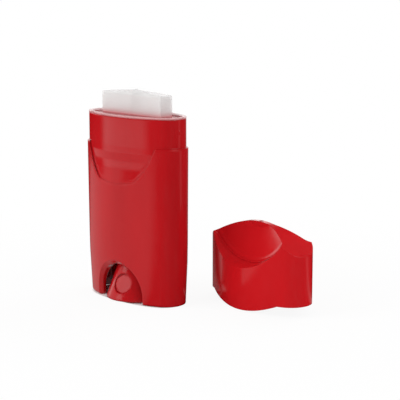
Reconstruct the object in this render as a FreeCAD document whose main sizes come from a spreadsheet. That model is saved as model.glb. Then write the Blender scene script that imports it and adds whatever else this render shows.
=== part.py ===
import FreeCAD, Part
import math
import os
import re
import Sketcher

# Oval twist-up deodorant stick container: barrel, dial with spindle, carrier, seal cover and cap.
# Frame: origin under the middle of the whole set, on the surface it stands on, X along the barrel's
# wide axis, front towards -Y, +Z up. Each piece is drawn about the barrel's axis and then moved.
# Lengths in mm, angles in degrees. Every size below is a cell of the Dimensions sheet.
SIZES = {
    # Barrel: a moulded oval tube with a slight draft, drawn in further towards its foot
    "body_half_length": 32.0,
    "body_half_width": 15.4,
    "body_end_radius": 10.6,
    "foot_inset": 1.38,
    "foot_edge_radius": 0.8,
    "waist_height": 20.8,
    "waist_inset": 0.46,
    "draft_height": 30.0,
    "draft_inset": 0.3,
    "shoulder_height": 77.8,
    "shoulder_edge": 0.4,
    # Neck that the cap slides over, and the chamber inside it
    "neck_inset": 0.95,
    "neck_height": 14.0,
    "neck_wall": 1.0,
    "lug_radius": 2.5,
    "lug_height": 0.35,
    "lug_below_rim": 6.0,
    "chamber_end_radius": 8.9,
    "bulkhead_top": 19.6,
    "bulkhead_thickness": 1.6,
    "foot_wall": 1.5,
    "journal_bore": 5.5,
    # Arched finger windows through both wide faces, in front of the dial
    "window_half_width": 14.6,
    "window_height": 18.6,
    "window_leg": 4.2,
    "window_edge": 1.8,
    "jamb_wall": 1.4,
    "jamb_reach": 8.7,
    # Shield-shaped recess under the cap's tongue, on both wide faces
    "recess_half_width": 24.0,
    "recess_foot_half_width": 12.6,
    "recess_foot_height": 60.6,
    "recess_foot_sag": 1.3,
    "recess_side_radius": 34.0,
    "recess_fade_height": 57.8,
    "recess_dish_height": 70.0,
    "recess_dish_depth": 1.0,
    # Dial with the feed spindle, one moulding
    "dial_bottom": 0.4,
    "dial_top": 17.7,
    "dial_base_radius": 16.0,
    "dial_top_radius": 9.7,
    "dial_wall": 2.7,
    "dial_deck": 1.7,
    "dimple_radius": 5.0,
    "dimple_height": 8.8,
    "dimple_depth": 1.25,
    "dimple_turn": 10.0,
    "boss_radius": 4.8,
    "boss_bottom": 3.0,
    "journal_radius": 5.42,
    "collar_radius": 6.0,
    "collar_float": 0.3,
    "collar_top": 21.4,
    "spindle_radius": 3.4,
    "spindle_top": 84.0,
    # Carrier: the oval elevator plate with the nut
    "carrier_gap": 0.35,
    "carrier_bottom": 20.1,
    "carrier_plate_top": 28.5,
    "carrier_plate": 1.4,
    "carrier_wall": 1.0,
    "nut_radius": 6.4,
    "nut_bore": 4.08,
    "nut_bottom": 21.9,
    "nut_rise": 2.6,
    "carrier_rib": 1.0,
    "side_rib_x": 21.5,
    "side_rib_half_width": 8.6,
    "middle_rib_half_width": 12.7,
    "grip_rib_length": 17.0,
    "grip_rib_offset": 7.0,
    # Seal cover: a flanged plug in the neck with a hollow pull block
    "flange_overhang": 0.08,
    "flange_thickness": 0.9,
    "plug_gap": 0.12,
    "plug_depth": 4.0,
    "plug_wall": 0.9,
    "tray_depth": 0.7,
    "tray_floor": 0.8,
    "block_length": 43.6,
    "block_width": 7.9,
    "block_top": 102.5,
    "block_rise": 1.8,
    "block_wall": 0.9,
    "block_corner": 0.9,
    "eaves_radius": 0.8,
    "ceiling_width": 4.3,
    "pip_radius": 0.7,
    "pip_height": 0.2,
    # Cap, in its own frame: rim at 0, tongues reaching below it
    "cap_half_length": 31.75,
    "cap_half_width": 15.3,
    "cap_skirt": 0.6,
    "cap_skirt_top": 15.4,
    "cap_wall": 0.85,
    "tongue_half_width": 23.4,
    "tongue_depth": 5.1,
    "crown_end": 24.8,
    "crown_rise": 11.7,
    "crown_half_width": 30.5,
    "crown_edge": 0.5,
    "grip_axis_height": 49.5,
    "grip_mouth_y": 15.2,
    "grip_bend_y": 8.0,
    "grip_bend_reach": 32.25,
    "grip_bend_radius": 6.0,
    "grip_wall_angle": 68.3,
    "grip_floor_angle": 12.0,
    "ridge_half_width": 1.45,
    "ridge_core_reach": 16.5,
    "gate_radius": 1.1,
    "gate_depth": 0.35,
    # Where the cap stands, on its tongues beside the barrel
    "cap_x": 54.8,
    "cap_y": 32.0,
    "cap_turn": -6.4,
    # Middle of the whole set, which the origin is moved to
    "set_middle_x": 27.2,
    "set_middle_y": 15.8,
}

DIMPLES = 4
FOOT_BANDS = 2  # bands round the foot's edge
DISH_TURNS = range(5, 126, 30)  # the recess face follows a sine of these angles
CLEARANCE = 2.0  # how far a cutting shape runs past the material
TOUCH = 0.01  # edges this close to a level lie on it
NOTHING = 1e-9
QUARTER_ROUND = 0.29  # a rounded corner's middle lies this part of its radius inside the corner

CAP_OVAL = ("cap_half_length", "cap_half_width", "body_end_radius")

document = FreeCAD.newDocument("DeodorantStick")
sheet = document.addObject("Spreadsheet::Sheet", "Dimensions")
for row, (alias, size) in enumerate(SIZES.items(), start=1):
    sheet.set(f"A{row}", alias)
    sheet.set(f"B{row}", str(size))
    sheet.setAlias(f"B{row}", alias)
document.recompute()


def bound(text):
    """Point every size name in an expression at its cell."""
    return re.sub(r"[a-z]+(_[a-z]+)+", lambda word: "Dimensions." + word[0], text)


def number(text):
    """The present value of an expression of sizes."""
    return float(sheet.evalExpression(bound(text)))


def bind(feature, **sizes):
    for name, text in sizes.items():
        feature.setExpression(name, bound(text))


def new_body(name):
    body = document.addObject("PartDesign::Body", name)
    body.Label = name
    return body


def origin_plane(body, role):
    return next(part for part in body.Origin.OriginFeatures if part.Role == role)


def new_sketch(body, name, role="XY_Plane", offset="0"):
    """A sketch on one of the body's own planes, moved along its normal."""
    sketch = body.newObject("Sketcher::SketchObject", name)
    sketch.AttachmentSupport = [(origin_plane(body, role), "")]
    sketch.MapMode = "FlatFace"
    sketch.setExpression("AttachmentOffset.Base.z", bound(offset))
    return sketch


def dimension(sketch, kind, *where, size):
    """Add a driving constraint that follows an expression of sizes."""
    index = sketch.addConstraint(Sketcher.Constraint(kind, *where, number(size)))
    sketch.setExpression(f"Constraints[{index}]", bound(size))


def arc(centre_x, centre_y, radius, start, end):
    centre = FreeCAD.Vector(centre_x, centre_y, 0)
    circle = Part.Circle(centre, FreeCAD.Vector(0, 0, 1), radius)
    return Part.ArcOfCircle(circle, start, end)


def draw_oval(sketch, half_length, half_width, end_radius):
    """A four-centre oval: two end arcs and two flank arcs, tangent to each other."""
    end = number(end_radius)
    centre = number(f"({half_length})-({end_radius})")
    flank_text = (
        f"((({half_length})-({end_radius}))^2+({half_width})^2-({end_radius})^2)"
        f"/(2*(({half_width})-({end_radius})))"
    )
    flank = number(flank_text)
    drop = flank - number(half_width)
    joint = math.atan2(drop, centre)
    sketch.addGeometry(arc(centre, 0, end, -joint, joint), False)
    sketch.addGeometry(arc(0, -drop, flank, joint, math.pi - joint), False)
    sketch.addGeometry(arc(-centre, 0, end, math.pi - joint, math.pi + joint), False)
    sketch.addGeometry(arc(0, drop, flank, math.pi + joint, 2 * math.pi - joint), False)
    for side in range(4):
        sketch.addConstraint(Sketcher.Constraint("Tangent", side, 2, (side + 1) % 4, 1))
    sketch.addConstraint(Sketcher.Constraint("PointOnObject", 0, 3, -1))
    sketch.addConstraint(Sketcher.Constraint("PointOnObject", 2, 3, -1))
    dimension(sketch, "DistanceX", -1, 1, 0, 3, size=f"({half_length})-({end_radius})")
    dimension(sketch, "DistanceX", 2, 3, -1, 1, size=f"({half_length})-({end_radius})")
    dimension(sketch, "Radius", 0, size=end_radius)
    dimension(sketch, "Radius", 1, size=flank_text)
    sketch.addConstraint(Sketcher.Constraint("Equal", 0, 2))
    sketch.addConstraint(Sketcher.Constraint("Equal", 1, 3))


def pin_point(sketch, where, x, y):
    """Hold a point at a bound place, or on an axis where the place is zero."""
    for kind, axis, text in (("DistanceX", -2, x), ("DistanceY", -1, y)):
        if abs(number(text)) < NOTHING:
            sketch.addConstraint(Sketcher.Constraint("PointOnObject", *where, axis))
        else:
            dimension(sketch, kind, -1, 1, *where, size=text)


def draw_profile(sketch, corners, arcs=None):
    """A closed outline through bound corners. arcs maps a side to (radius, which side bulges)."""
    arcs = arcs or {}
    points = [FreeCAD.Vector(number(x), number(y), 0) for x, y in corners]
    count = len(points)
    ends = []
    for side in range(count):
        start, finish = points[side], points[(side + 1) % count]
        if side not in arcs:
            sketch.addGeometry(Part.LineSegment(start, finish), False)
            ends.append((1, 2))
            continue
        radius_text, bulge = arcs[side]
        radius = number(radius_text)
        chord = finish - start
        across = FreeCAD.Vector(-chord.y, chord.x, 0).normalize()
        reach = math.sqrt(radius**2 - (chord.Length / 2) ** 2)
        centre = (start + finish) / 2 + across * (bulge * reach)
        angles = [math.atan2(p.y - centre.y, p.x - centre.x) for p in (start, finish)]
        if bulge < 0:
            angles.reverse()
        if angles[1] < angles[0]:
            angles[1] += 2 * math.pi
        sketch.addGeometry(arc(centre.x, centre.y, radius, *angles), False)
        dimension(sketch, "Radius", side, size=radius_text)
        ends.append((1, 2) if bulge > 0 else (2, 1))
    for side in range(count):
        following = (side + 1) % count
        joint = (side, ends[side][1], following, ends[following][0])
        sketch.addConstraint(Sketcher.Constraint("Coincident", *joint))
    for side, (x, y) in enumerate(corners):
        pin_point(sketch, (side, ends[side][0]), x, y)


def draw_circle(sketch, radius):
    """A circle about the sketch's origin."""
    circle = Part.Circle(FreeCAD.Vector(0, 0, 0), FreeCAD.Vector(0, 0, 1), number(radius))
    index = sketch.addGeometry(circle, False)
    dimension(sketch, "Radius", index, size=radius)
    sketch.addConstraint(Sketcher.Constraint("Coincident", index, 3, -1, 1))


def draw_rectangle(sketch, half_length, half_width):
    signs = ((-1, -1), (1, -1), (1, 1), (-1, 1))
    corners = [(f"{x}*({half_length})", f"{y}*({half_width})") for x, y in signs]
    draw_profile(sketch, corners)


def draw_rounded(sketch, half_length, half_width, radius):
    """A rectangle with quarter-round corners."""
    corners = []
    for x, y in ((1, -1), (1, 1), (-1, 1), (-1, -1)):
        along = (f"{x}*(({half_length})-({radius}))", f"{y}*({half_width})")
        across = (f"{x}*({half_length})", f"{y}*(({half_width})-({radius}))")
        corners += [along, across] if x * y < 0 else [across, along]
    draw_profile(sketch, corners, {side: (radius, 1) for side in (0, 2, 4, 6)})


def pad(body, sketch, length, both_ways=False, reverse=False):
    feature = body.newObject("PartDesign::Pad", sketch.Name + "_pad")
    feature.Profile = sketch
    feature.SideType = "Symmetric" if both_ways else "One side"
    feature.Reversed = reverse
    bind(feature, Length=length)
    return feature


def pocket(body, sketch, length=None, both_ways=False, reverse=False):
    feature = body.newObject("PartDesign::Pocket", sketch.Name + "_pocket")
    feature.Profile = sketch
    feature.SideType = "Symmetric" if both_ways else "One side"
    feature.Reversed = reverse
    if length is None:
        feature.Type = "ThroughAll"
    else:
        bind(feature, Length=length)
    return feature


def stack_ovals(body, name, levels):
    """Solid through the body's oval drawn in by an inset at each height."""
    sections = []
    for level, (height, inset) in enumerate(levels):
        section = new_sketch(body, f"{name}_{level}", offset=height)
        sizes = ("body_half_length", "body_half_width", "body_end_radius")
        draw_oval(section, *[f"{size}-({inset})" for size in sizes])
        sections.append(section)
    loft = body.newObject("PartDesign::AdditiveLoft", name + "_loft")
    loft.Profile = sections[0]
    loft.Sections = sections[1:]
    loft.Ruled = True


def level_edges(height):
    """A test that picks the curved edges lying at one height."""
    level = number(height)

    def lies_level(edge):
        box = edge.BoundBox
        return max(abs(box.ZMin - level), abs(box.ZMax - level)) < TOUCH and box.XLength > TOUCH

    return lies_level


def ease_edges(body, name, size, chosen):
    """Chamfer the edges of the body's tip that the test picks."""
    document.recompute()
    base = body.Tip
    edges = [f"Edge{i}" for i, edge in enumerate(base.Shape.Edges, start=1) if chosen(edge)]
    feature = body.newObject("PartDesign::Chamfer", name)
    feature.Base = (base, edges)
    bind(feature, Size=size)
    return feature


def polar(body, feature, count):
    """Repeat a feature round the body's Z axis."""
    pattern = body.newObject("PartDesign::PolarPattern", feature.Name + "_pattern")
    pattern.Originals = [feature]
    pattern.Axis = (origin_plane(body, "Z_Axis"), [""])
    pattern.Angle = 360
    pattern.Occurrences = count
    body.Tip = pattern
    return pattern


def window_edges():
    """A test that picks the finger windows' outer edges above the foot's rounding."""
    bottom = number("foot_edge_radius") - TOUCH
    leg = number("window_leg") + TOUCH
    top = number("window_height") + CLEARANCE
    outside = number("body_half_width-foot_inset")

    def lies_outside(edge):
        box = edge.BoundBox
        if box.ZLength < TOUCH or box.ZMin < bottom or box.ZMax > top:
            return False
        return box.ZMax < leg or max(-box.YMin, box.YMax) > outside

    return lies_outside


def make_barrel():
    """Oval tube with foot, bulkhead, finger windows, shoulder, thumb recesses and neck."""
    body = new_body("barrel")
    levels = []
    for turn in range(0, 90, 90 // FOOT_BANDS):
        inset = f"foot_inset+foot_edge_radius*(1-sin({turn}))"
        levels.append((f"foot_edge_radius*(1-cos({turn}))", inset))
    levels += [
        ("foot_edge_radius", "foot_inset"),
        ("waist_height", "waist_inset"),
        ("draft_height", "draft_inset"),
        ("shoulder_height-shoulder_edge", "0"),
        ("shoulder_height", "shoulder_edge"),
    ]
    stack_ovals(body, "barrel", levels)

    # The recess is cut right through in front view, then a core with a dished face fills it again.
    shield = new_sketch(body, "recess_shield", "XZ_Plane")
    above = f"shoulder_height+{CLEARANCE}"
    corners = [
        ("-recess_half_width", above),
        ("-recess_half_width", "shoulder_height"),
        ("-recess_foot_half_width", "recess_foot_height"),
        ("recess_foot_half_width", "recess_foot_height"),
        ("recess_half_width", "shoulder_height"),
        ("recess_half_width", above),
    ]
    sag_radius = "(recess_foot_half_width^2+recess_foot_sag^2)/(2*recess_foot_sag)"
    side = ("recess_side_radius", 1)
    draw_profile(shield, corners, {1: side, 2: (sag_radius, 1), 3: side})
    pocket(body, shield, both_ways=True)

    dish = []
    for turn in DISH_TURNS:
        height = f"(recess_fade_height+(recess_dish_height-recess_fade_height)*{turn / 90})"
        draft = f"draft_inset*(shoulder_height-{height})/(shoulder_height-draft_height)"
        dish.append((height, f"{draft}+recess_dish_depth*sin({turn})"))
    dish.append(("shoulder_height", "neck_inset"))
    stack_ovals(body, "recess_core", dish)

    neck = new_sketch(body, "neck", offset="shoulder_height")
    neck_oval = [f"{s}-neck_inset" for s in ("body_half_length", "body_half_width", "body_end_radius")]
    draw_oval(neck, *neck_oval)
    pad(body, neck, "neck_height")

    # Cap-retaining lugs, one at each end of the neck
    for side_name, sign in (("right", 1), ("left", -1)):
        lug = body.newObject("PartDesign::AdditiveSphere", "lug_" + side_name)
        lug.AttachmentSupport = [(origin_plane(body, "XY_Plane"), "")]
        lug.MapMode = "FlatFace"
        bind(lug, Radius="lug_radius")
        reach = "body_half_length-neck_inset-lug_radius+lug_height"
        lug.setExpression("AttachmentOffset.Base.x", bound(f"{sign}*({reach})"))
        lug.setExpression("AttachmentOffset.Base.z", bound("shoulder_height+neck_height-lug_below_rim"))

    chamber = new_sketch(body, "chamber", offset="shoulder_height+neck_height")
    inner = [f"{s}-neck_inset-neck_wall" for s in ("body_half_length", "body_half_width")]
    draw_oval(chamber, *inner, "chamber_end_radius")
    pocket(body, chamber, "shoulder_height+neck_height-bulkhead_top")

    space = new_sketch(body, "dial_space")
    sizes = ("body_half_length", "body_half_width", "body_end_radius")
    draw_oval(space, *[f"{size}-foot_inset-foot_wall" for size in sizes])
    pocket(body, space, "bulkhead_top-bulkhead_thickness", reverse=True)

    bearing = new_sketch(body, "bearing", offset="bulkhead_top")
    draw_circle(bearing, "journal_bore")
    pocket(body, bearing, f"bulkhead_thickness+{CLEARANCE}")

    # The windows' jambs reach inwards, to close the gap beside the dial
    flank_end = "body_end_radius-foot_inset-foot_wall/2"
    flank_width = "(body_half_width-foot_inset-foot_wall/2)"
    centre = "(body_half_length-body_end_radius)"
    flank = f"({centre}^2+{flank_width}^2-({flank_end})^2)/(2*({flank_width}-({flank_end})))"
    half = "(window_half_width+jamb_wall)"
    corner_y = f"({flank_width}-(({flank})-sqrt(({flank})^2-{half}^2)))"
    for name, sign in (("front", -1), ("back", 1)):
        jamb = new_sketch(body, "jamb_" + name)
        draw_profile(
            jamb,
            [
                (f"-{half}", f"{sign}*jamb_reach"),
                (half, f"{sign}*jamb_reach"),
                (half, f"{sign}*{corner_y}"),
                (f"-{half}", f"{sign}*{corner_y}"),
            ],
            {2: (flank, sign)},
        )
        pad(body, jamb, "bulkhead_top-bulkhead_thickness/2")

    window = new_sketch(body, "window", "XZ_Plane")
    below = f"-{CLEARANCE}"
    crown = "(window_half_width^2+(window_height-window_leg)^2)/(2*(window_height-window_leg))"
    window_corners = [
        ("-window_half_width", below),
        ("window_half_width", below),
        ("window_half_width", "window_leg"),
        ("-window_half_width", "window_leg"),
    ]
    draw_profile(window, window_corners, {2: (crown, 1)})
    pocket(body, window, both_ways=True)
    ease_edges(body, "window_easing", "window_edge", window_edges())
    return body


def make_dial():
    """Conical dial with finger dimples, retaining journal and spindle, turned about Z."""
    body = new_body("dial")
    half = new_sketch(body, "dial_half", "XZ_Plane")
    inner_top = "dial_top-dial_deck"
    draw_profile(half, [
        ("0", "boss_bottom"),
        ("boss_radius", "boss_bottom"),
        ("boss_radius", inner_top),
        ("dial_top_radius-dial_wall", inner_top),
        ("dial_base_radius-dial_wall", "dial_bottom"),
        ("dial_base_radius", "dial_bottom"),
        ("dial_top_radius", "dial_top"),
        ("journal_radius", "dial_top"),
        ("journal_radius", "bulkhead_top+collar_float"),
        ("collar_radius", "bulkhead_top+collar_float"),
        ("spindle_radius", "collar_top"),
        ("spindle_radius", "spindle_top"),
        ("0", "spindle_top"),
    ])
    turn = body.newObject("PartDesign::Revolution", "dial_turned")
    turn.Profile = half
    turn.ReferenceAxis = (half, ["V_Axis"])
    turn.Angle = 360

    # Finger dimples: round, flat-bottomed, square to the cone
    slope = "(dial_base_radius-dial_top_radius)/(dial_top-dial_bottom)"
    tilt = f"atan({slope})"
    at_radius = f"(dial_base_radius-({slope})*(dimple_height-dial_bottom)-dimple_depth*cos({tilt}))"
    at_height = f"(dimple_height-dimple_depth*sin({tilt}))"
    dimple = body.newObject("PartDesign::SubtractiveCylinder", "dimple")
    dimple.AttachmentSupport = [(origin_plane(body, "XY_Plane"), "")]
    dimple.MapMode = "FlatFace"
    bind(dimple, Radius="dimple_radius", Height=f"dimple_depth+{CLEARANCE}")
    around = "dimple_turn-90"
    dimple.setExpression("AttachmentOffset.Base.x", bound(f"{at_radius}*cos({around})"))
    dimple.setExpression("AttachmentOffset.Base.y", bound(f"{at_radius}*sin({around})"))
    dimple.setExpression("AttachmentOffset.Base.z", bound(at_height))
    dimple.setExpression("AttachmentOffset.Rotation.Yaw", bound(around))
    dimple.setExpression("AttachmentOffset.Rotation.Pitch", bound(f"90deg-{tilt}"))
    polar(body, dimple, DIMPLES)
    return body


def make_carrier():
    """Elevator: oval plate with skirt, nut, stiffening ribs below and keying ribs above."""
    body = new_body("carrier")
    inset = "neck_inset-neck_wall-carrier_gap"
    half_length = f"body_half_length-{inset}"
    half_width = f"body_half_width-{inset}"
    end_radius = "chamber_end_radius-carrier_gap"

    plate = new_sketch(body, "carrier_plate", offset="carrier_bottom")
    draw_oval(plate, half_length, half_width, end_radius)
    pad(body, plate, "carrier_plate_top-carrier_bottom")

    hollow = new_sketch(body, "carrier_hollow", offset="carrier_bottom")
    inside = (f"{half_length}-carrier_wall", f"{half_width}-carrier_wall", f"{end_radius}-carrier_wall")
    draw_oval(hollow, *inside)
    pocket(body, hollow, "carrier_plate_top-carrier_bottom-carrier_plate", reverse=True)

    nut = new_sketch(body, "nut", offset="nut_bottom")
    draw_circle(nut, "nut_radius")
    pad(body, nut, "carrier_plate_top-nut_bottom+nut_rise")

    rib_height = f"carrier_plate_top-nut_bottom-{CLEARANCE}"
    long_rib = new_sketch(body, "long_rib", offset=f"nut_bottom+{CLEARANCE}")
    draw_rectangle(long_rib, f"{half_length}-0.5*carrier_wall", "carrier_rib/2")
    pad(body, long_rib, rib_height)
    for name, place, reach in (
        ("left", "-side_rib_x", "side_rib_half_width"),
        ("middle", "0", "middle_rib_half_width"),
        ("right", "side_rib_x", "side_rib_half_width"),
    ):
        cross = new_sketch(body, "cross_rib_" + name, offset=f"nut_bottom+{CLEARANCE}")
        draw_profile(cross, [
            (f"{place}-carrier_rib/2", f"-{reach}"),
            (f"{place}+carrier_rib/2", f"-{reach}"),
            (f"{place}+carrier_rib/2", reach),
            (f"{place}-carrier_rib/2", reach),
        ])
        pad(body, cross, rib_height)

    # Upright ribs that key the poured stick to the plate
    for name, sign in (("front", -1), ("back", 1)):
        key = new_sketch(body, "key_rib_" + name, offset="carrier_plate_top")
        draw_profile(key, [
            ("-grip_rib_length", f"{sign}*grip_rib_offset-carrier_rib/2"),
            ("grip_rib_length", f"{sign}*grip_rib_offset-carrier_rib/2"),
            ("grip_rib_length", f"{sign}*grip_rib_offset+carrier_rib/2"),
            ("-grip_rib_length", f"{sign}*grip_rib_offset+carrier_rib/2"),
        ])
        pad(body, key, "nut_rise")

    bore = new_sketch(body, "nut_bore", offset="carrier_plate_top+nut_rise")
    draw_circle(bore, "nut_bore")
    pocket(body, bore)
    return body


def make_seal_cover():
    """Flanged plug in the neck with a shallow tray and a hollow, hip-topped pull block."""
    body = new_body("seal_cover")
    rim = "(shoulder_height+neck_height)"
    neck_oval = [f"{s}-neck_inset+flange_overhang" for s in
                 ("body_half_length", "body_half_width", "body_end_radius")]
    plug = [f"{s}-neck_inset-neck_wall-plug_gap" for s in ("body_half_length", "body_half_width")]

    flange = new_sketch(body, "flange", offset=rim)
    draw_oval(flange, *neck_oval)
    pad(body, flange, "flange_thickness")
    skirt = new_sketch(body, "plug", offset=rim)
    draw_oval(skirt, *plug, "chamber_end_radius-plug_gap")
    pad(body, skirt, "plug_depth", reverse=True)

    inside = [f"{size}-plug_wall" for size in plug] + ["chamber_end_radius-plug_gap-plug_wall"]
    tray = new_sketch(body, "tray", offset=f"{rim}+flange_thickness")
    draw_oval(tray, *inside)
    pocket(body, tray, "tray_depth")
    under = new_sketch(body, "plug_hollow", offset=f"{rim}-plug_depth")
    draw_oval(under, *inside)
    floor_bottom = "flange_thickness-tray_depth-tray_floor"
    pocket(body, under, f"plug_depth+{floor_bottom}", reverse=True)

    foot_height = f"({rim}+{floor_bottom})"
    block = new_sketch(body, "block", offset=foot_height)
    draw_rounded(block, "block_length/2", "block_width/2", "block_corner")
    pad(body, block, f"block_top+block_rise-{foot_height}")

    # Hipped roof: two shallow gables across each other, eased at the eaves
    sky = f"block_top+block_rise+{CLEARANCE}"
    ends = (("long", "XZ_Plane", "block_length/2"), ("short", "YZ_Plane", "block_width/2"))
    for name, role, half in ends:
        slope = [
            (half, "block_top-eaves_radius"),
            (f"{half}-{QUARTER_ROUND}*eaves_radius", f"block_top-{QUARTER_ROUND}*eaves_radius"),
            (f"{half}-eaves_radius", f"block_top+block_rise*eaves_radius/({half})"),
        ]
        mirrored = [(f"-({x})", z) for x, z in slope]
        gable = new_sketch(body, "gable_" + name, role)
        draw_profile(gable, [
            *mirrored,
            ("0", "block_top+block_rise"),
            *reversed(slope),
            (half, sky),
            (f"-{half}", sky),
        ])
        pocket(body, gable, both_ways=True)

    hollow = new_sketch(body, "block_hollow", offset=foot_height)
    draw_rectangle(hollow, "block_length/2-block_wall", "block_width/2-block_wall")
    pocket(body, hollow, f"block_top-block_wall-{foot_height}", reverse=True)
    ceiling = new_sketch(body, "block_ceiling", "XZ_Plane")
    draw_profile(ceiling, [
        ("block_wall-block_length/2", "block_top-block_wall"),
        ("block_length/2-block_wall", "block_top-block_wall"),
        ("0", "block_top+block_rise-2*block_wall"),
    ])
    pocket(body, ceiling, "ceiling_width", both_ways=True)

    web = new_sketch(body, "block_web", offset=foot_height)
    draw_rectangle(web, "block_wall/2", "block_width/2-block_wall/2")
    pad(body, web, f"block_top-{foot_height}")

    pip = new_sketch(body, "gate_pip", offset="block_top")
    draw_circle(pip, "pip_radius")
    pad(body, pip, "block_rise+pip_height")
    return body


def grip_corners(wall, core):
    """Half-section of a pinch grip as (distance out, distance below the grip's axis) texts."""
    steep = "grip_wall_angle"
    flat = "grip_floor_angle"
    run = f"(grip_bend_radius*tan(({steep}-{flat})/2))"
    wall_end = (f"grip_bend_y-{run}*cos({steep})", f"grip_bend_reach-{run}*sin({steep})")
    floor_start = (f"grip_bend_y+{run}*cos({flat})", f"grip_bend_reach+{run}*sin({flat})")
    far = f"grip_mouth_y+2*{CLEARANCE}"
    floor_end = (far, f"{floor_start[1]}+({far}-({floor_start[0]}))*tan({flat})")
    corners = [
        (far, "0"),
        (f"{floor_end[0]}-{wall}*sin({flat})", f"{floor_end[1]}+{wall}*cos({flat})"),
        (f"{floor_start[0]}-{wall}*sin({flat})", f"{floor_start[1]}+{wall}*cos({flat})"),
        (f"{wall_end[0]}-{wall}*sin({steep})", f"{wall_end[1]}+{wall}*cos({steep})"),
    ]
    lean = f"({corners[3][0]}-({corners[3][1]}-ridge_core_reach)/tan({steep}))"
    if core:
        corners += [(lean, "ridge_core_reach"), ("-ridge_half_width", "ridge_core_reach")]
        corners += [("-ridge_half_width", "0")]
    else:
        foot = f"{wall_end[1]}-({wall_end[0]}-ridge_half_width)*tan({steep})"
        corners += [("ridge_half_width", foot), ("ridge_half_width", "0")]
    return corners


def shape_cap(body, wall, core):
    """Cut the crown's arch and both pinch grips, a wall's thickness further in for the core."""
    crown = new_sketch(body, body.Name + "_crown", "XZ_Plane")
    ledge = f"crown_end-{wall}"
    far = f"(cap_half_length+{CLEARANCE})"
    sky = f"crown_end+crown_rise+{CLEARANCE}"
    crown_radius = "(crown_half_width^2+crown_rise^2)/(2*crown_rise)"
    draw_profile(crown, [
        (f"-{far}", ledge),
        ("-crown_half_width", ledge),
        ("crown_half_width", ledge),
        (far, ledge),
        (far, sky),
        (f"-{far}", sky),
    ], {1: (crown_radius, -1)})
    pocket(body, crown, both_ways=True)
    if not core:
        ease_edges(body, "level_end_easing", "crown_edge", level_edges("crown_end"))
    for side, sign in (("front", -1), ("back", 1)):
        grip = new_sketch(body, f"{body.Name}_grip_{side}", "YZ_Plane")
        grip.setExpression("AttachmentOffset.Base.y", bound("grip_axis_height"))
        corners = [(f"{sign}*({out})", f"-({reach})") for out, reach in grip_corners(wall, core)]
        draw_profile(grip, corners, {} if core else {2: ("grip_bend_radius", -sign)})
        groove = body.newObject("PartDesign::Groove", grip.Name + "_cut")
        groove.Profile = grip
        groove.ReferenceAxis = (grip, ["H_Axis"])
        groove.Angle = 360


def make_cap():
    """Hollow cap with two tongues, an arched crown and a pinch ridge between two grips."""
    form = new_body("cap_form")
    outline = new_sketch(form, "cap_outline", offset="-tongue_depth")
    draw_oval(outline, *CAP_OVAL)
    pad(form, outline, "tongue_depth+crown_end+crown_rise")
    shape_cap(form, "0", core=False)
    gate = new_sketch(form, "cap_gate", offset="crown_end+crown_rise-gate_depth")
    draw_circle(gate, "gate_radius")
    pocket(form, gate, f"gate_depth+{CLEARANCE}", reverse=True)

    # The rim is level at the ends and dips into a tongue on each wide face
    rim = new_sketch(form, "cap_tongue", "XZ_Plane")
    far = f"(cap_half_length+{CLEARANCE})"
    below = f"-tongue_depth-{CLEARANCE}"
    tongue_radius = "(tongue_half_width^2+tongue_depth^2)/(2*tongue_depth)"
    draw_profile(rim, [
        (f"-{far}", below),
        (far, below),
        (far, "0"),
        ("tongue_half_width", "0"),
        ("-tongue_half_width", "0"),
        (f"-{far}", "0"),
    ], {3: (tongue_radius, -1)})
    pocket(form, rim, both_ways=True)

    core = new_body("cap_core")
    spans = (
        ("skirt", "cap_skirt", f"-tongue_depth-{CLEARANCE}", f"cap_skirt_top+tongue_depth+{CLEARANCE}"),
        ("upper", "cap_wall", "cap_skirt_top", "crown_end+crown_rise-cap_skirt_top"),
    )
    for name, wall, start, height in spans:
        section = new_sketch(core, "core_" + name, offset=start)
        draw_oval(section, *[f"{size}-{wall}" for size in CAP_OVAL])
        pad(core, section, height)
    shape_cap(core, "cap_wall", core=True)

    cap = document.addObject("Part::Cut", "cap")
    cap.Label = "cap"
    cap.Base = form
    cap.Tool = core
    bind(cap, **{"Placement.Base.z": "tongue_depth", "Placement.Rotation.Angle": "cap_turn"})
    return cap


def check(features):
    """Every feature must have recomputed to a sound solid."""
    broken = [item.Label for item in document.Objects
              if "Invalid" in item.State or "Error" in item.State]
    for feature in features:
        shape = feature.Shape
        if shape.isNull() or not shape.isValid() or len(shape.Solids) != 1:
            broken.append(feature.Label)
    if broken:
        raise RuntimeError(f"features need attention: {broken}")


parts = [make_barrel(), make_dial(), make_carrier(), make_seal_cover(), make_cap()]
for part in parts:
    beside = part.Label == "cap"
    bind(part, **{
        "Placement.Base.x": "cap_x-set_middle_x" if beside else "-set_middle_x",
        "Placement.Base.y": "cap_y-set_middle_y" if beside else "-set_middle_y",
    })
document.recompute()
check(parts)
os.makedirs("parts", exist_ok=True)
for part in parts:
    part.Shape.exportStep(f"parts/{part.Label}.step")
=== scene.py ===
# %% [markdown]
# # An empty twist-up deodorant container
# The container is a set of five mouldings: an oval barrel, a dial with its feed spindle,
# an elevator that carries the stick, a clear seal cover with a pull block, and a cap that
# stands beside the barrel. The solids already have their true shapes, so this lesson gives
# them their plastics, adds the screw thread, and sets up a small table-top studio.

import math

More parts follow.
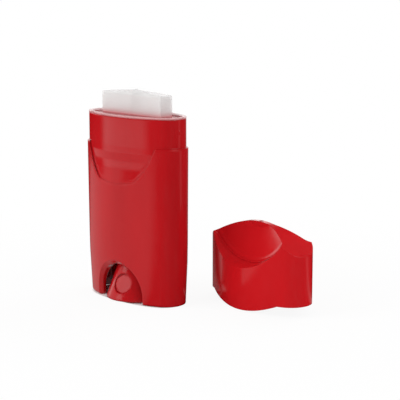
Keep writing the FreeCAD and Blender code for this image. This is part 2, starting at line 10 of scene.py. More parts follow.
import bmesh
import bpy
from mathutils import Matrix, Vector


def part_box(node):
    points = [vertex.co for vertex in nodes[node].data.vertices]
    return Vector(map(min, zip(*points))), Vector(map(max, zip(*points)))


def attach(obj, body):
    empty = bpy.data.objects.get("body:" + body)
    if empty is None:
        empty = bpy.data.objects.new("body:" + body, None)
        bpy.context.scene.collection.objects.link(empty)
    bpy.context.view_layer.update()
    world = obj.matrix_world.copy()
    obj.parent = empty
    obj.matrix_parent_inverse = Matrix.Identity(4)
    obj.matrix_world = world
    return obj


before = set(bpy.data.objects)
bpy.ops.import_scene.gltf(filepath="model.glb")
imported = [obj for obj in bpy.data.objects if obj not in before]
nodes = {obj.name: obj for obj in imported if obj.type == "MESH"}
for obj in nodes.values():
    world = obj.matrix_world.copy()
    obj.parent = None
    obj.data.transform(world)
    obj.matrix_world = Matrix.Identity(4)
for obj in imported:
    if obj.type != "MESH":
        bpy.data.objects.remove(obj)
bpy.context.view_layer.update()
MM = 0.001
print("solids:", sorted(nodes))

# %% [markdown]
# ## Where things stand
# The barrel stands at the left and the cap at the right, a little behind. Places could be
# typed in, but measured ones stay right when a solid changes. The dial is round, so the
# middle of its box is the barrel's upright axis.

# %% Measure the set
dial_low, dial_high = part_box("dial")
barrel_low, barrel_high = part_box("barrel")
barrel_axis = (dial_low + dial_high) / 2
half_length = (barrel_high.x - barrel_low.x) / 2
half_width = (barrel_high.y - barrel_low.y) / 2
print("barrel axis", tuple(round(v, 4) for v in barrel_axis[:2]))
print("barrel half length", round(half_length, 4), "half width", round(half_width, 4))

# %% [markdown]
# ## A group for moulded plastic
# Gloss mouldings are never quite perfect. The skin is a little wavy where the melt shrank,
# the colour is stirred unevenly, and fine rubs from packing dull the gloss in places. Each
# material could have its own noise for this. One node group is shorter, and each plastic
# still sets its own strengths.


# %% An empty group, its sockets and the flow of the melt
def add_node(tree, kind, place, **values):
    """A new node at a place in the editor, with some of its settings."""
    node = tree.nodes.new(kind)
    node.location = place
    for name, value in values.items():
        setattr(node, name, value)
    return node


def new_group(name, inputs, outputs):
    """An empty shader group with named sockets: inputs are (name, kind, value)."""
    group = bpy.data.node_groups.new(name, "ShaderNodeTree")
    for label, kind, value in inputs:
        socket = group.interface.new_socket(label, in_out="INPUT", socket_type=kind)
        if value is not None:
            socket.default_value = value
    for label, kind in outputs:
        group.interface.new_socket(label, in_out="OUTPUT", socket_type=kind)
    entry = add_node(group, "NodeGroupInput", (-900, 0))
    leave = add_node(group, "NodeGroupOutput", (700, 0))
    return group, entry.outputs, leave.inputs


FLOW = (1, 1, 0.25)  # the melt ran upwards, so its patterns are four times as tall

skin, skin_in, skin_out = new_group(
    "moulded_skin",
    [
        ("Colour", "NodeSocketColor", (0.5, 0.5, 0.5, 1)),
        ("Deep Colour", "NodeSocketColor", (0.4, 0.4, 0.4, 1)),
        ("Gloss", "NodeSocketFloat", 0.15),
        ("Rubs", "NodeSocketFloat", 0.06),
        ("Sink", "NodeSocketFloat", 0.3),
        ("Normal", "NodeSocketVector", None),
    ],
    [
        ("Colour", "NodeSocketColor"),
        ("Roughness", "NodeSocketFloat"),
        ("Normal", "NodeSocketVector"),
    ],
)
skin_place = add_node(skin, "ShaderNodeTexCoord", (-900, -300)).outputs["Object"]
flow = add_node(skin, "ShaderNodeMapping", (-700, -300))
flow.inputs["Scale"].default_value = FLOW
skin.links.new(skin_place, flow.inputs["Vector"])
print("group", skin.name, "sockets", len(skin_in), len(skin_out))


# %% Stirred colour and fine rubs
STIR_SCALE = 60  # streaks of colour
STIR_SPAN = (0.35, 0.65)
RUB_SCALE = 420  # fine rubs
RUB_SPAN = (0.45, 0.75)


def add_noise(tree, vector, scale, detail, place):
    """Noise that reads a vector. The scale counts its blobs in a metre."""
    noise = add_node(tree, "ShaderNodeTexNoise", place)
    noise.inputs["Scale"].default_value = scale
    noise.inputs["Detail"].default_value = detail
    tree.links.new(vector, noise.inputs["Vector"])
    return noise.outputs["Fac"]


def remap(tree, value, span, to, place):
    """Stretch a span of values onto another span. Past its ends the result stays put."""
    stretch = add_node(tree, "ShaderNodeMapRange", place)
    for label, number in zip(("From Min", "From Max", "To Min", "To Max"), (*span, *to)):
        stretch.inputs[label].default_value = number
    tree.links.new(value, stretch.inputs["Value"])
    return stretch.outputs["Result"]


stirred = add_noise(skin, flow.outputs["Vector"], STIR_SCALE, 3, (-480, 200))
tint = add_node(skin, "ShaderNodeMix", (200, 250), data_type="RGBA")
skin.links.new(remap(skin, stirred, STIR_SPAN, (0, 1), (-250, 200)), tint.inputs["Factor"])
skin.links.new(skin_in["Colour"], tint.inputs["A"])
skin.links.new(skin_in["Deep Colour"], tint.inputs["B"])
skin.links.new(tint.outputs["Result"], skin_out["Colour"])

rubbed = add_noise(skin, flow.outputs["Vector"], RUB_SCALE, 4, (-480, -50))
rub_mask = remap(skin, rubbed, RUB_SPAN, (0, 1), (-250, -50))
dulling = add_node(skin, "ShaderNodeMath", (0, -50), operation="MULTIPLY_ADD")
for slot, source in enumerate((rub_mask, skin_in["Rubs"], skin_in["Gloss"])):
    skin.links.new(source, dulling.inputs[slot])
skin.links.new(dulling.outputs["Value"], skin_out["Roughness"])
print("streaks", STIR_SCALE, "and rubs", RUB_SCALE, "a metre")

# %% Shrinkage waves and the tool's fine skin
SINK_SCALE = 28  # waves about 35 mm long
SINK_DEPTH = 0.6 * MM
SKIN_SCALE = 900  # the fine skin of a polished tool
SKIN_DEPTH = 0.02 * MM
SKIN_STRENGTH = 0.15

sink = add_noise(skin, skin_place, SINK_SCALE, 1, (-480, -350))
waves = add_node(skin, "ShaderNodeBump", (100, -350))
waves.inputs["Distance"].default_value = SINK_DEPTH
skin.links.new(skin_in["Sink"], waves.inputs["Strength"])
skin.links.new(sink, waves.inputs["Height"])
skin.links.new(skin_in["Normal"], waves.inputs["Normal"])
fine = add_noise(skin, skin_place, SKIN_SCALE, 2, (-480, -600))
peel = add_node(skin, "ShaderNodeBump", (350, -450))
peel.inputs["Distance"].default_value = SKIN_DEPTH
peel.inputs["Strength"].default_value = SKIN_STRENGTH
skin.links.new(fine, peel.inputs["Height"])
skin.links.new(waves.outputs["Normal"], peel.inputs["Normal"])
skin.links.new(peel.outputs["Normal"], skin_out["Normal"])
print("waves up to", SINK_DEPTH, "m deep, fine skin", SKIN_DEPTH)

# %% [markdown]
# ## The plastics
# The red pieces are polypropylene with a strong pigment. Light hardly enters it, so it is
# a plain coloured body under a clear, glossy skin. The elevator and the seal cover have no
# pigment, so light soaks a little way into them. A steel tool also rounds every edge.
# Bevelling the meshes would show that too, but the solids keep their meshes, so a Bevel
# node bends the normals near the edges instead.


# %% A maker of plastics
PLASTIC_IOR = 1.49


def moulded_plastic(name, colour, deep, gloss, rubs, sink, edge):
    """A Principled plastic whose colour, gloss and normal come from the moulded skin."""
    material = bpy.data.materials.new(name)
    material.use_nodes = True
    tree = material.node_tree
    shader = tree.nodes["Principled BSDF"]
    shader.inputs["IOR"].default_value = PLASTIC_IOR
    skin_node = add_node(tree, "ShaderNodeGroup", (-300, 0), node_tree=skin, name="skin")
    skin_node.inputs["Colour"].default_value = (*colour, 1)
    skin_node.inputs["Deep Colour"].default_value = (*deep, 1)
    skin_node.inputs["Gloss"].default_value = gloss
    skin_node.inputs["Rubs"].default_value = rubs
    skin_node.inputs["Sink"].default_value = sink
    rounding = add_node(tree, "ShaderNodeBevel", (-520, -200), samples=6, name="edge_rounding")
    rounding.inputs["Radius"].default_value = edge
    tree.links.new(rounding.outputs["Normal"], skin_node.inputs["Normal"])
    tree.links.new(skin_node.outputs["Colour"], shader.inputs["Base Color"])
    tree.links.new(skin_node.outputs["Roughness"], shader.inputs["Roughness"])
    tree.links.new(skin_node.outputs["Normal"], shader.inputs["Normal"])
    return material


print("plastics are made from group", skin.name, "with IOR", PLASTIC_IOR)

# %% The red plastics
RED, DEEP_RED = (0.50, 0.0070, 0.0105), (0.45, 0.0058, 0.0090)
# The cap's red is lighter than the barrel's: partly its own thinner moulding, partly painted light for
# the light through its thin walls and to lift it where the barrel shades it.
CAP_RED_AND_PAINTED_LIGHT, DEEP_CAP_RED_AND_PAINTED_LIGHT = (0.63, 0.0095, 0.0138), (0.585, 0.0084, 0.0122)
barrel_plastic = moulded_plastic(
    "barrel_plastic", RED, DEEP_RED, gloss=0.13, rubs=0.06, sink=0.35, edge=1.0 * MM
)
dial_plastic = moulded_plastic(
    "dial_plastic", RED, DEEP_RED, gloss=0.15, rubs=0.06, sink=0.2, edge=1.4 * MM
)
cap_plastic = moulded_plastic(
    "cap_plastic", CAP_RED_AND_PAINTED_LIGHT, DEEP_CAP_RED_AND_PAINTED_LIGHT, gloss=0.13, rubs=0.06, sink=0.35, edge=0.5 * MM
)
print("red plastics:", barrel_plastic.name, dial_plastic.name, cap_plastic.name)

# %% The plastics without pigment
CLEAR, DEEP_CLEAR = (0.93, 0.92, 0.915), (0.90, 0.89, 0.88)
MILK, DEEP_MILK = (0.80, 0.79, 0.75), (0.76, 0.75, 0.71)
SOAK, SOAK_DEPTH = 0.15, 2 * MM  # the share of light that enters the elevator, and how far

natural_plastic = moulded_plastic(
    "natural_plastic", CLEAR, DEEP_CLEAR, gloss=0.22, rubs=0.04, sink=0.25, edge=0.35 * MM
)
carrier_plastic = moulded_plastic(
    "carrier_plastic", MILK, DEEP_MILK, gloss=0.38, rubs=0.10, sink=0.25, edge=0.3 * MM
)
carrier_shader = carrier_plastic.node_tree.nodes["Principled BSDF"]
carrier_shader.inputs["Subsurface Weight"].default_value = SOAK
carrier_shader.inputs["Subsurface Radius"].default_value = (SOAK_DEPTH, SOAK_DEPTH, SOAK_DEPTH)

finishes = {
    "barrel": barrel_plastic,
    "dial": dial_plastic,
    "cap": cap_plastic,
    "carrier": carrier_plastic,
    "seal_cover": natural_plastic,
}
for name, finish in finishes.items():
    nodes[name].data.materials.clear()
    nodes[name].data.materials.append(finish)
print("finishes:", {name: finish.name for name, finish in finishes.items()})

# %% [markdown]
# ## Seeing through the seal cover
# The seal cover is a thin unpigmented shell. Its floor lets the red barrel show through, and
# its pink glow is partly painted light: a red tint in its colour stands in for the red light
# that the barrel throws up into it. The tall pull block, seen through several walls, looks
# milky. Transmission could do this, but so many thin walls make it grainy. Alpha lets part
# of the light straight through, as a thin sheet does. It changes with height, from the tray
# to the block.


# %% Let the red show through the tray
TRAY_ALPHA, RIM_ALPHA, BLOCK_ALPHA = 0.34, 0.55, 0.48
TRAY_FADE = 0.35 * MM  # the height over which the tray turns into the rim
BLOCK_START = 1 * MM  # the pull block begins to clear this far above the tray


def combine(tree, operation, first, second, place):
    """A Math node on two values, each a socket or a number."""
    node = add_node(tree, "ShaderNodeMath", place, operation=operation)
    for slot, value in enumerate((first, second)):
        if isinstance(value, (int, float)):
            node.inputs[slot].default_value = value
        else:
            tree.links.new(value, node.inputs[slot])
    return node.outputs["Value"]


cover_low, cover_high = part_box("seal_cover")
tray_top = barrel_high.z + 0.25 * MM
tree = natural_plastic.node_tree
natural_shader = tree.nodes["Principled BSDF"]
cover_place = add_node(tree, "ShaderNodeTexCoord", (-900, 400))
cover_height = add_node(tree, "ShaderNodeSeparateXYZ", (-700, 400))
tree.links.new(cover_place.outputs["Object"], cover_height.inputs[0])
cover_up = cover_height.outputs["Z"]
above_tray = remap(tree, cover_up, (tray_top, tray_top + TRAY_FADE), (0, 1), (-500, 400))
step_up = remap(tree, above_tray, (0, 1), (TRAY_ALPHA, RIM_ALPHA), (-300, 400))
block_span = (tray_top + BLOCK_START, cover_high.z)
clearing = remap(tree, cover_up, block_span, (0, RIM_ALPHA - BLOCK_ALPHA), (-500, 600))
milkiness = combine(tree, "SUBTRACT", step_up, clearing, (-100, 500))
tree.links.new(milkiness, natural_shader.inputs["Alpha"])
print("seal cover from", round(cover_low.z, 4), "to", round(cover_high.z, 4))

# %% Paint the barrel's red light into the tray
PAINTED_RED_LIGHT = (1, 0.34, 0.36)  # painted light: the red that shines up into the tray from the barrel below
PAINTED_LIGHT_HEIGHT = 5 * MM
PAINTED_LIGHT_POWER = 4  # the painted red light is strong in the tray and weak just above it

# Painted light: near its floor the tray's colour is multiplied towards red, standing in for red light
# from the barrel.
painted_light_span = (tray_top, tray_top + PAINTED_LIGHT_HEIGHT)
painted_light_share = remap(tree, cover_up, painted_light_span, (1, 0), (-500, 800))
painted_light_curve = combine(tree, "POWER", painted_light_share, PAINTED_LIGHT_POWER, (-300, 800))
painted_pink_light = add_node(tree, "ShaderNodeMix", (-100, 800), data_type="RGBA", blend_type="MULTIPLY")
tree.links.new(painted_light_curve, painted_pink_light.inputs["Factor"])
tree.links.new(tree.nodes["skin"].outputs["Colour"], painted_pink_light.inputs["A"])
painted_pink_light.inputs["B"].default_value = (*PAINTED_RED_LIGHT, 1)
tree.links.new(painted_pink_light.outputs["Result"], natural_shader.inputs["Base Color"])
print("glow up to", round(tray_top + PAINTED_LIGHT_HEIGHT, 4))

# %% [markdown]
# ## Where the barrel blends
# The hollow in the barrel's wide face has a wall that runs out softly, as if pressed with a
# thumb, while the foot and the rim keep tighter edges. A mask drawn by hand could pick the
# soft place. The height on the barrel does it with no drawing: it fades between a wide and
# a narrow Bevel node.

# %% Soften the hollow's foot
SOFT_EDGE = 3.0 * MM
HOLLOW_FOOT, HOLLOW_TOP = 36 * MM, 74 * MM
FOOT_FADE, TOP_FADE = 6 * MM, 8 * MM

tree = barrel_plastic.node_tree
tight = tree.nodes["edge_rounding"]
wide = add_node(tree, "ShaderNodeBevel", (-1000, -450), samples=8)
wide.inputs["Radius"].default_value = SOFT_EDGE
barrel_place = add_node(tree, "ShaderNodeTexCoord", (-1500, -100))
barrel_height = add_node(tree, "ShaderNodeSeparateXYZ", (-1300, -100))
tree.links.new(barrel_place.outputs["Object"], barrel_height.inputs[0])
barrel_up = barrel_height.outputs["Z"]
above_foot = remap(tree, barrel_up, (HOLLOW_FOOT, HOLLOW_FOOT + FOOT_FADE), (0, 1), (-1100, 0))
below_top = remap(tree, barrel_up, (HOLLOW_TOP - TOP_FADE, HOLLOW_TOP), (1, 0), (-1100, -200))
in_hollow = combine(tree, "MULTIPLY", above_foot, below_top, (-900, -100))
blend_edges = add_node(tree, "ShaderNodeMix", (-700, -250), data_type="VECTOR")
tree.links.new(in_hollow, blend_edges.inputs["Factor"])
tree.links.new(tight.outputs["Normal"], blend_edges.inputs["A"])
tree.links.new(wide.outputs["Normal"], blend_edges.inputs["B"])
tree.links.new(blend_edges.outputs["Result"], tree.nodes["skin"].inputs["Normal"])
print("wide edges from", HOLLOW_FOOT, "to", HOLLOW_TOP)

# %% [markdown]
# ## The screw thread
# The spindle lifts the elevator 5 mm for each turn of the dial, on a coarse right-hand
# thread with sloping flanks. A Screw modifier could wind it, but bmesh's spin does the same
# in one call: it sweeps a small profile round the axis and lifts it a little at each step.
# The thread stays inside the nut's bore, so the two never rub.

# %% Sweep the thread
PITCH = 5.0 * MM
THREAD_ROOT, ROOT_WIDTH = 3.2 * MM, 2.6 * MM
THREAD_CREST, CREST_WIDTH = 4.0 * MM, 1.1 * MM
THREAD_BOTTOM = 23.0 * MM
TIP = 1.2 * MM  # the spindle's plain tip above the thread
STEPS_A_TURN = 32

turns = (dial_high.z - TIP - THREAD_BOTTOM) / PITCH
steps = int(turns * STEPS_A_TURN)
thread = bmesh.new()
corners = [
    (THREAD_ROOT, -ROOT_WIDTH / 2),
    (THREAD_CREST, -CREST_WIDTH / 2),
    (THREAD_CREST, CREST_WIDTH / 2),
    (THREAD_ROOT, ROOT_WIDTH / 2),
]
profile = thread.faces.new(
    thread.verts.new((barrel_axis.x + out, barrel_axis.y, THREAD_BOTTOM + up)) for out, up in corners
)
bmesh.ops.spin(
    thread,
    geom=[profile, *profile.edges, *profile.verts],
    cent=(barrel_axis.x, barrel_axis.y, 0),
    axis=(0, 0, 1),
    dvec=(0, 0, PITCH / STEPS_A_TURN),
    angle=math.tau * steps / STEPS_A_TURN,
    steps=steps,
    use_duplicate=False,
)
bmesh.ops.recalc_face_normals(thread, faces=thread.faces)
print("thread turns", round(turns, 2))


# %% Make the thread a piece that turns with the dial
CREASE = math.radians(35)  # edges sharper than this stay crisp


def as_object(shape, name):
    """Turn a bmesh into an object in the scene, standing at the origin."""
    mesh = bpy.data.meshes.new(name)
    shape.to_mesh(mesh)
    shape.free()
    piece = bpy.data.objects.new(name, mesh)
    bpy.context.scene.collection.objects.link(piece)
    return piece


spindle_thread = as_object(thread, "spindle_thread")
spindle_thread.data.materials.append(dial_plastic)
for face in spindle_thread.data.polygons:
    face.use_smooth = True
spindle_thread.data.set_sharp_from_angle(angle=CREASE)
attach(spindle_thread, "dial")
print(spindle_thread.name, "faces", len(spindle_thread.data.polygons))

# %% [markdown]
# ## The studio
# To the eye the floor and the room are white. In the gloss of the plastic there is more to
# see, and that is what shows its shape. A big low window stands on the left, with a small
# soft box nearer the front, and the window's light lies in a sheet on the floor. The right
# side and the ceiling are dark, with one slim gap. So the wide face carries a soft pale
# sheet, and the rounded end stays deep red. Real studios do this with windows, soft boxes
# and black cards. Cards could be modelled here too, but they would stand in the way in
# other views. So the floor's paint and the world hold the lights, each in a sector of the
# room. A sector is a small node group.


# %% A sector of the room
def side_direction(degrees):
    """The level direction at an angle from the front, towards +X."""
    turn = math.radians(degrees)
    return (math.sin(turn), -math.cos(turn), 0)


sector, sector_in, sector_out = new_group(
    "room_sector",
    [
        ("Direction", "NodeSocketVector", None),
        ("Side", "NodeSocketVector", (0, -1, 0)),
        ("Dark From", "NodeSocketFloat", 0.6),
        ("Lit From", "NodeSocketFloat", 0.7),
    ],
    [("Mask", "NodeSocketFloat")],
)
flat = add_node(sector, "ShaderNodeVectorMath", (-700, 0), operation="MULTIPLY")
flat.inputs[1].default_value = (1, 1, 0)
sector.links.new(sector_in["Direction"], flat.inputs[0])
level = add_node(sector, "ShaderNodeVectorMath", (-500, 0), operation="NORMALIZE")
sector.links.new(flat.outputs["Vector"], level.inputs[0])
along = add_node(sector, "ShaderNodeVectorMath", (-300, 0), operation="DOT_PRODUCT")
sector.links.new(level.outputs["Vector"], along.inputs[0])
sector.links.new(sector_in["Side"], along.inputs[1])
lit = add_node(sector, "ShaderNodeMapRange", (0, 0))
sector.links.new(along.outputs["Value"], lit.inputs["Value"])
sector.links.new(sector_in["Dark From"], lit.inputs["From Min"])
sector.links.new(sector_in["Lit From"], lit.inputs["From Max"])
sector.links.new(lit.outputs["Result"], sector_out["Mask"])


def add_sector(tree, direction, span, place):
    """Mask of a sector. Its span is its first and last angle and how far its edges fade."""
    first, last, fade = span
    middle, half = (first + last) / 2, (last - first) / 2
    node = add_node(tree, "ShaderNodeGroup", place, node_tree=sector)
    node.inputs["Side"].default_value = side_direction(middle)
    node.inputs["Dark From"].default_value = math.cos(math.radians(half + fade / 2))
    node.inputs["Lit From"].default_value = math.cos(math.radians(half - fade / 2))
    tree.links.new(direction, node.inputs["Direction"])
    return node.outputs["Mask"]


print("group", sector.name)

# %% [markdown]
# ## The floor
# The set stands on a sheet of white paper. A curved backdrop would have to be turned for
# each view, so the sheet is just a very large flat grid, and the white room carries on
# where it ends. It lies a hair below the set, so that no faces share one plane.

# %% Lay the floor
FLOOR_HALF = 6.0
FLOOR_DROP = 0.1 * MM

floor_grid = bmesh.new()
bmesh.ops.create_grid(floor_grid, x_segments=1, y_segments=1, size=FLOOR_HALF)
bmesh.ops.translate(floor_grid, verts=floor_grid.verts, vec=(0, 0, -FLOOR_DROP))
floor = as_object(floor_grid, "studio_floor")
print("floor", FLOOR_HALF * 2, "m wide")

# %% [markdown]
# ## What the gloss sees on the floor
# Glossy uprights mirror the floor near their foot, so the window's light has to lie there
# too. Lamps could throw it, but their edges would be hard to place. Painting it in sectors
# puts each edge where it should be. All levels are emission strengths, where 1 is white.

# %% Measure the way from the set
SET_MIDDLE = (-0.010, 0, 0)  # a little towards the barrel

floor_paint = bpy.data.materials.new("floor_paint")
floor_paint.use_nodes = True
tree = floor_paint.node_tree
tree.nodes.clear()
spot = add_node(tree, "ShaderNodeTexCoord", (-1300, 0)).outputs["Object"]
from_set = add_node(tree, "ShaderNodeVectorMath", (-1100, 0), operation="SUBTRACT")
from_set.inputs[1].default_value = SET_MIDDLE
tree.links.new(spot, from_set.inputs[0])
toward = from_set.outputs["Vector"]
reach = add_node(tree, "ShaderNodeVectorMath", (-900, -200), operation="LENGTH")
tree.links.new(toward, reach.inputs[0])
how_far = reach.outputs["Value"]
print("floor measured from", SET_MIDDLE)

# %% Join the sheets of light
NEAR_SHEET, NEAR_SECTOR = 0.44, (-92, -1, 7)  # window light close to the set
FAR_SHEET, FAR_SECTOR = 0.85, (-66, -10, 8)  # its bright part, further out
BEHIND, BEHIND_SECTOR = 0.20, (-176, -112, 14)  # weak light behind on the left
GAP, GAP_SECTOR = 0.34, (119, 129, 5)  # the slim gap in the dark side
SHEET_STEP = (0.46, 0.54)  # metres from the set at which the near part gives way
SHEET_END = (0.85, 1.05)  # and at which the bright part loses half its strength

near_mask = add_sector(tree, toward, NEAR_SECTOR, (-900, 200))
near_level = remap(tree, how_far, SHEET_STEP, (NEAR_SHEET, 0), (-700, 0))
near_sheet = combine(tree, "MULTIPLY", near_level, near_mask, (-450, 0))
far_mask = add_sector(tree, toward, FAR_SECTOR, (-900, -500))
rise = remap(tree, how_far, SHEET_STEP, (0, FAR_SHEET), (-700, -200))
fall = remap(tree, how_far, SHEET_END, (0, FAR_SHEET / 2), (-700, -400))
far_level = combine(tree, "SUBTRACT", rise, fall, (-450, -300))
far_sheet = combine(tree, "MULTIPLY", far_level, far_mask, (-250, -300))
behind_mask = add_sector(tree, toward, BEHIND_SECTOR, (-900, -700))
behind = combine(tree, "MULTIPLY", behind_mask, BEHIND, (-450, -600))
gap_mask = add_sector(tree, toward, GAP_SECTOR, (-900, -900))
gap = combine(tree, "MULTIPLY", gap_mask, GAP, (-450, -800))
sheets = combine(tree, "ADD", near_sheet, far_sheet, (-50, -100))
others = combine(tree, "ADD", behind, gap, (-50, -400))
floor_in_gloss = combine(tree, "ADD", sheets, others, (150, -200))
print("floor seen in gloss:", NEAR_SHEET, FAR_SHEET)

# %% [markdown]
# ## What the eye sees of the floor
# White paper under strong light shows almost no shade, apart from a faint one close to the
# set and a deep one under the barrel, which the finger windows let you look into. A plain
# pale floor would turn grey far from the lamps. So a diffuse paint gives the true shading,
# pure white lies over it, and a mask says how much of the shading shows in each place.

# %% Where the shading shows
CONTACT_SHADOW = 0.08  # how much of the shading shows close to the set
SHADOW_REACH = (0.10, 0.24)  # metres from the set over which it fades
FOOT_POWER = 2.6  # makes the barrel's oval fuller than an ellipse
FOOT_EDGE = (0.70, 0.83)  # the oval at which the deep shade ends, inside the barrel's foot

under = add_node(tree, "ShaderNodeMapping", (-900, 900))
under.inputs["Location"].default_value = (-barrel_axis.x / half_length, -barrel_axis.y / half_width, 0)
under.inputs["Scale"].default_value = (1 / half_length, 1 / half_width, 1)
tree.links.new(spot, under.inputs["Vector"])
one_side = add_node(tree, "ShaderNodeVectorMath", (-750, 900), operation="ABSOLUTE")
tree.links.new(under.outputs["Vector"], one_side.inputs[0])
split = add_node(tree, "ShaderNodeSeparateXYZ", (-600, 900))
tree.links.new(one_side.outputs["Vector"], split.inputs[0])
along_foot = combine(tree, "POWER", split.outputs["X"], FOOT_POWER, (-400, 1000))
across_foot = combine(tree, "POWER", split.outputs["Y"], FOOT_POWER, (-400, 850))
off_axis = combine(tree, "ADD", along_foot, across_foot, (-200, 900))
near_set = remap(tree, how_far, SHADOW_REACH, (CONTACT_SHADOW, 0), (-200, 1100))
under_foot = remap(tree, off_axis, FOOT_EDGE, (1, 0), (-200, 750))
shade_share = combine(tree, "MAXIMUM", under_foot, near_set, (0, 900))
print("contact shadow", CONTACT_SHADOW)


# %% Put the floor's paint together
PALE = (0.85, 0.85, 0.85, 1)


def mix_shaders(tree, share, first, second, place):
    """A Mix Shader: the share says how much of the second shader shows."""
    mix = add_node(tree, "ShaderNodeMixShader", place)
    for slot, source in enumerate((share, first, second)):
        tree.links.new(source, mix.inputs[slot])
    return mix.outputs["Shader"]


def ray_masks(tree, place):
    """Masks of the rays that the eye sends, straight or through clear walls, and of gloss."""
    ray = add_node(tree, "ShaderNodeLightPath", place).outputs
    beside = (place[0] + 250, place[1])
    eye = combine(tree, "MAXIMUM", ray["Is Camera Ray"], ray["Is Transmission Ray"], beside)
    return eye, ray["Is Glossy Ray"]


seen_in_gloss = add_node(tree, "ShaderNodeEmission", (350, -200))
tree.links.new(floor_in_gloss, seen_in_gloss.inputs["Strength"])
pale = add_node(tree, "ShaderNodeBsdfDiffuse", (150, 150))
pale.inputs["Color"].default_value = PALE
white = add_node(tree, "ShaderNodeEmission", (150, 300))
eye, gloss = ray_masks(tree, (150, 600))
shaded = mix_shaders(tree, shade_share, white.outputs[0], pale.outputs[0], (400, 300))
for_eye = mix_shaders(tree, eye, pale.outputs[0], shaded, (600, 300))
for_gloss = mix_shaders(tree, gloss, for_eye, seen_in_gloss.outputs[0], (800, 150))
paint_out = add_node(tree, "ShaderNodeOutputMaterial", (1000, 150))
tree.links.new(for_gloss, paint_out.inputs["Surface"])
floor.data.materials.append(floor_paint)
print("floor paint nodes", len(tree.nodes))

# %% [markdown]
# ## The room's light
# The world does three jobs. To the eye it is white, at strength 1. To matt surfaces it is an
# even, weaker light. To gloss it is the room: the window, the soft box and the gap, each a
# sector between two heights. A picture of a real room could light the set as well, but then
# its windows would be where they happened to be.

# %% Start the world
world = bpy.data.worlds.new("soft_room")
bpy.context.scene.world = world
world.use_nodes = True
tree = world.node_tree
tree.nodes.clear()
look = add_node(tree, "ShaderNodeTexCoord", (-1300, 0)).outputs["Generated"]
parts_of_look = add_node(tree, "ShaderNodeSeparateXYZ", (-1100, -400))
tree.links.new(look, parts_of_look.inputs[0])
lift = parts_of_look.outputs["Z"]
print("world", world.name)


# %% The window and the soft box
WINDOW, WINDOW_TOP = 1.1, (19, 25)  # heights are degrees above the floor
WINDOW_SECTOR, DIM_SECTOR, DIM_SHARE = (-152, -76, 12), (-82, -38, 10), 0.5
SOFT_BOX, BOX_SECTOR = 1.6, (-41, -17, 4)
BOX_BOTTOM, BOX_TOP = (10, 13), (21, 24)


def remap_height(tree, lift, span, to, place):
    """Change a value between two heights, given as angles above the floor."""
    return remap(tree, lift, [math.sin(math.radians(angle)) for angle in span], to, place)


window_band = remap_height(tree, lift, WINDOW_TOP, (WINDOW, 0), (-850, -200))
pane = add_sector(tree, look, WINDOW_SECTOR, (-1050, 100))
dim_mask = add_sector(tree, look, DIM_SECTOR, (-1050, 300))
dim_pane = combine(tree, "MULTIPLY", dim_mask, DIM_SHARE, (-700, 350))
panes = combine(tree, "MAXIMUM", pane, dim_pane, (-550, 250))
window = combine(tree, "MULTIPLY", window_band, panes, (-400, 0))
box_bottom = remap_height(tree, lift, BOX_BOTTOM, (0, SOFT_BOX), (-850, -450))
box_top = remap_height(tree, lift, BOX_TOP, (1, 0), (-850, -650))
box_band = combine(tree, "MULTIPLY", box_bottom, box_top, (-600, -550))
box_mask = add_sector(tree, look, BOX_SECTOR, (-850, -850))
soft_box = combine(tree, "MULTIPLY", box_band, box_mask, (-400, -550))
print("window", WINDOW, "soft box", SOFT_BOX)

# %% The gap and the light behind
BACK_SECTOR, BACK_TOP = (-176, -132, 14), (24, 34)

gap_band = remap_height(tree, lift, BACK_TOP, (GAP, 0), (-850, -1050))
gap_mask = add_sector(tree, look, GAP_SECTOR, (-850, -1250))
gap = combine(tree, "MULTIPLY", gap_band, gap_mask, (-550, -1100))
back_band = remap_height(tree, lift, BACK_TOP, (BEHIND, 0), (-850, -1450))
back_mask = add_sector(tree, look, BACK_SECTOR, (-850, -1650))
back = combine(tree, "MULTIPLY", back_band, back_mask, (-550, -1500))
front_lights = combine(tree, "ADD", window, soft_box, (-200, -100))
back_lights = combine(tree, "ADD", gap, back, (-200, -400))
room_in_gloss = combine(tree, "ADD", front_lights, back_lights, (0, -200))
print("gap", GAP, "behind", BEHIND)

# %% Put the world together
AMBIENT = 0.60

eye, gloss = ray_masks(tree, (-400, 500))
plain = add_node(tree, "ShaderNodeMix", (200, 200), data_type="FLOAT")
plain.inputs["A"].default_value = AMBIENT
tree.links.new(gloss, plain.inputs["Factor"])
tree.links.new(room_in_gloss, plain.inputs["B"])
strength = add_node(tree, "ShaderNodeMix", (400, 200), data_type="FLOAT")
strength.inputs["B"].default_value = 1
tree.links.new(eye, strength.inputs["Factor"])
tree.links.new(plain.outputs["Result"], strength.inputs["A"])
glow = add_node(tree, "ShaderNodeBackground", (600, 200))
glow.inputs["Color"].default_value = (1, 1, 1, 1)
tree.links.new(strength.outputs["Result"], glow.inputs["Strength"])
world_out = add_node(tree, "ShaderNodeOutputWorld", (800, 200))
tree.links.new(glow.outputs[0], world_out.inputs["Surface"])
print("ambient", AMBIENT)

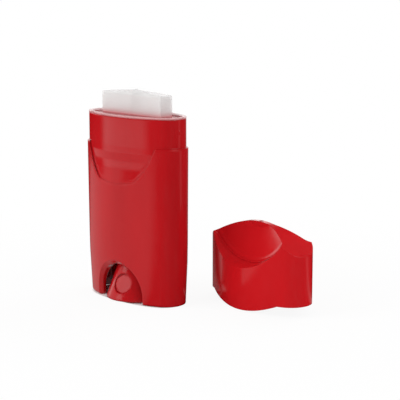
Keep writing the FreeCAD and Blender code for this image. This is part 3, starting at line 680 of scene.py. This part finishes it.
# %% [markdown]
# ## Soft lamps
# Lamps give the direct light and the shadows. Small ones would cut hard shadows, so these
# are square panels, most of a metre wide. The ones in front and behind stay out of the
# gloss, which already has the room's own window.


# %% Place the lamps
AIM = Vector((0, 0, 0.045))  # halfway up the barrel


def soft_lamp(name, turn, lift, distance, size, power, in_gloss=True):
    """A square soft lamp aimed at the set, at an angle from the front and above the floor."""
    data = bpy.data.lights.new(name, "AREA")
    data.shape = "SQUARE"
    data.size = size
    data.energy = power
    lamp = bpy.data.objects.new(name, data)
    lift = math.radians(lift)
    away = Vector(side_direction(turn)) * math.cos(lift) + Vector((0, 0, math.sin(lift)))
    lamp.location = AIM + away * distance
    lamp.rotation_euler = away.to_track_quat("Z", "Y").to_euler()
    lamp.visible_glossy = in_gloss
    bpy.context.scene.collection.objects.link(lamp)
    print(name, "at", tuple(round(v, 2) for v in lamp.location))


soft_lamp("window_lamp", turn=-28, lift=36, distance=1.1, size=0.7, power=5.8, in_gloss=False)
soft_lamp("side_lamp", turn=95, lift=34, distance=1.2, size=0.8, power=2.7)
soft_lamp("back_lamp", turn=172, lift=36, distance=1.2, size=0.8, power=4.0, in_gloss=False)

# %% [markdown]
# ## The camera
# A near camera makes uprights lean. A long lens from some way off, at the front right and a
# little above the set, keeps them almost parallel. The camera could follow a target, but a
# heading and a tilt say plainly where it looks.

# %% Set the camera
LENS = 114.53  # millimetres, on a sensor 36 mm wide
CAMERA_PLACE = (0.4393, -0.4331, 0.1615)
HEADING = Vector((-0.7111, 0.7031, 0)).normalized()
TILT_DOWN = math.radians(10.2)

camera_data = bpy.data.cameras.new("camera")
camera_data.sensor_width = 36
camera_data.lens = LENS
camera_data.clip_start = 10 * MM
camera = bpy.data.objects.new("camera", camera_data)
camera.location = CAMERA_PLACE
look_along = HEADING * math.cos(TILT_DOWN) + Vector((0, 0, -math.sin(TILT_DOWN)))
camera.rotation_euler = look_along.to_track_quat("-Z", "Y").to_euler()
bpy.context.scene.collection.objects.link(camera)
bpy.context.scene.camera = camera
bpy.context.scene.view_settings.view_transform = "Standard"
print("camera at", tuple(round(v, 3) for v in camera.location))
